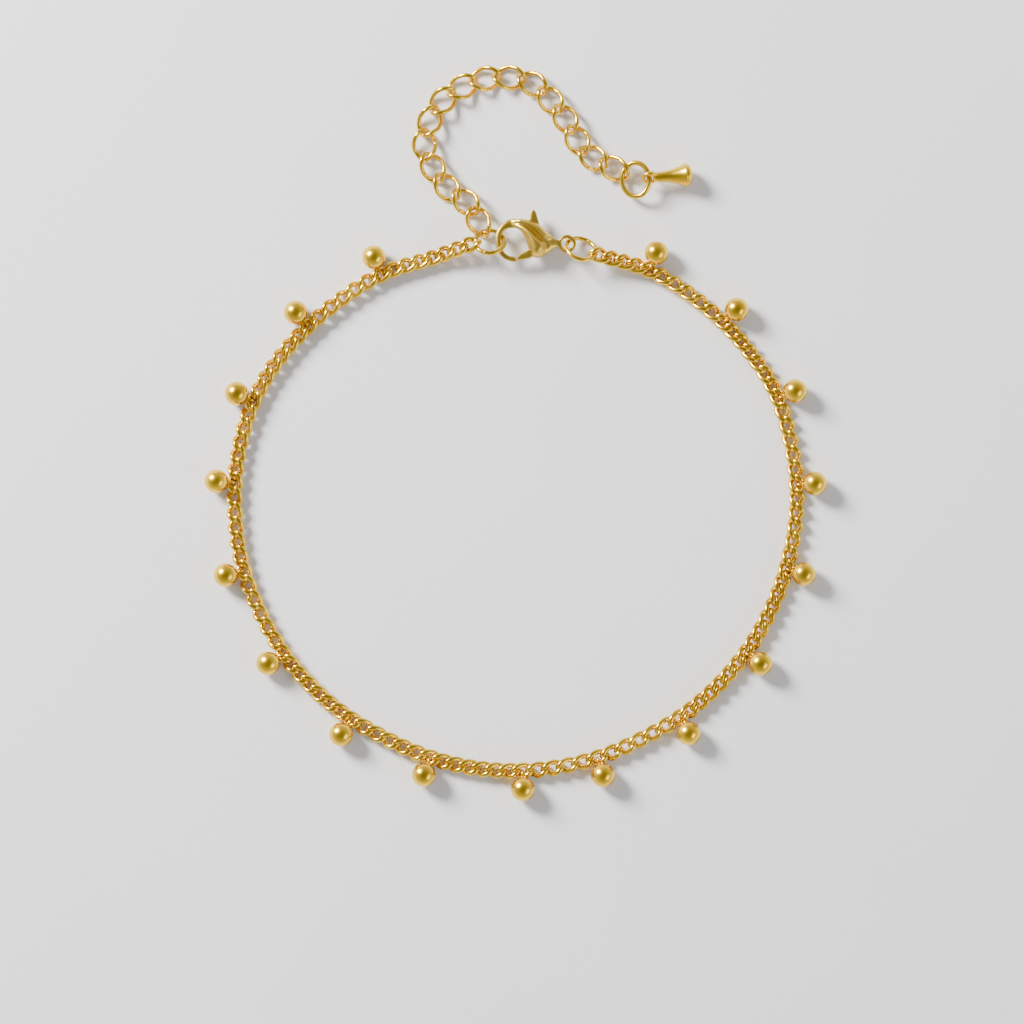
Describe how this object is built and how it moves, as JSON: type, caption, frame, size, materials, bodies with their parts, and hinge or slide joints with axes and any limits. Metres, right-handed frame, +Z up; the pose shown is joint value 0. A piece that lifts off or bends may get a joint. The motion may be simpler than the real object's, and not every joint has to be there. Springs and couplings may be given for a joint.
{
  "type": "anklet",
  "caption": "Gold-tone curb chain anklet with evenly spaced small balls, a lobster clasp and an extender of larger links ending in a cone drop, lying fastened",
  "frame": {"origin": "middle of the bounding box's underside, on the surface the anklet lies on", "axes": "+X to the right in the picture, +Y away from the viewer to the clasp and the extender, +Z up from the surface"},
  "size_m": [0.0806, 0.0958, 0.0035],
  "materials": {
    "chain_gold": "polished gold-tone plating, fine links",
    "ball_gold": "smooth polished gold-tone plating",
    "ring_gold": "polished gold-tone wire",
    "clasp_gold": "cast and plated, satin to polished"
  },
  "bodies": {
    "anklet": {"curb_chain": "chain_gold", "ball_drop_01": "ball_gold", "ball_drop_02": "ball_gold", "ball_drop_03": "ball_gold", "ball_drop_04": "ball_gold", "ball_drop_05": "ball_gold", "ball_drop_06": "ball_gold", "ball_drop_07": "ball_gold", "ball_drop_08": "ball_gold", "ball_drop_09": "ball_gold", "ball_drop_10": "ball_gold", "ball_drop_11": "ball_gold", "ball_drop_12": "ball_gold", "ball_drop_13": "ball_gold", "ball_drop_14": "ball_gold", "ball_drop_15": "ball_gold", "ball_drop_16": "ball_gold", "ball_drop_17": "ball_gold", "chain_end_ring": "ring_gold", "clasp_ring": "ring_gold", "clasp_body": "clasp_gold", "extender_link_01": "ring_gold", "extender_link_02": "ring_gold", "extender_link_03": "ring_gold", "extender_link_04": "ring_gold", "extender_link_05": "ring_gold", "extender_link_06": "ring_gold", "extender_link_07": "ring_gold", "extender_link_08": "ring_gold", "extender_link_09": "ring_gold", "extender_link_10": "ring_gold", "extender_link_11": "ring_gold", "extender_link_12": "ring_gold", "extender_link_13": "ring_gold", "extender_link_14": "ring_gold", "extender_link_15": "ring_gold", "extender_link_16": "ring_gold", "extender_end_ring": "ring_gold", "cone_drop": "ball_gold"},
    "lever": {"clasp_lever": "clasp_gold"}
  },
  "joints": [
    {"name": "clasp_lever_hinge", "type": "hinge", "parent": "anklet", "child": "lever", "pos_m": [0.00339, 0.02444, 0.00185], "axis": [0, 0, -1], "range_deg": [0, 25], "stiffness_Nm_per_rad": 0.002}
  ]
}
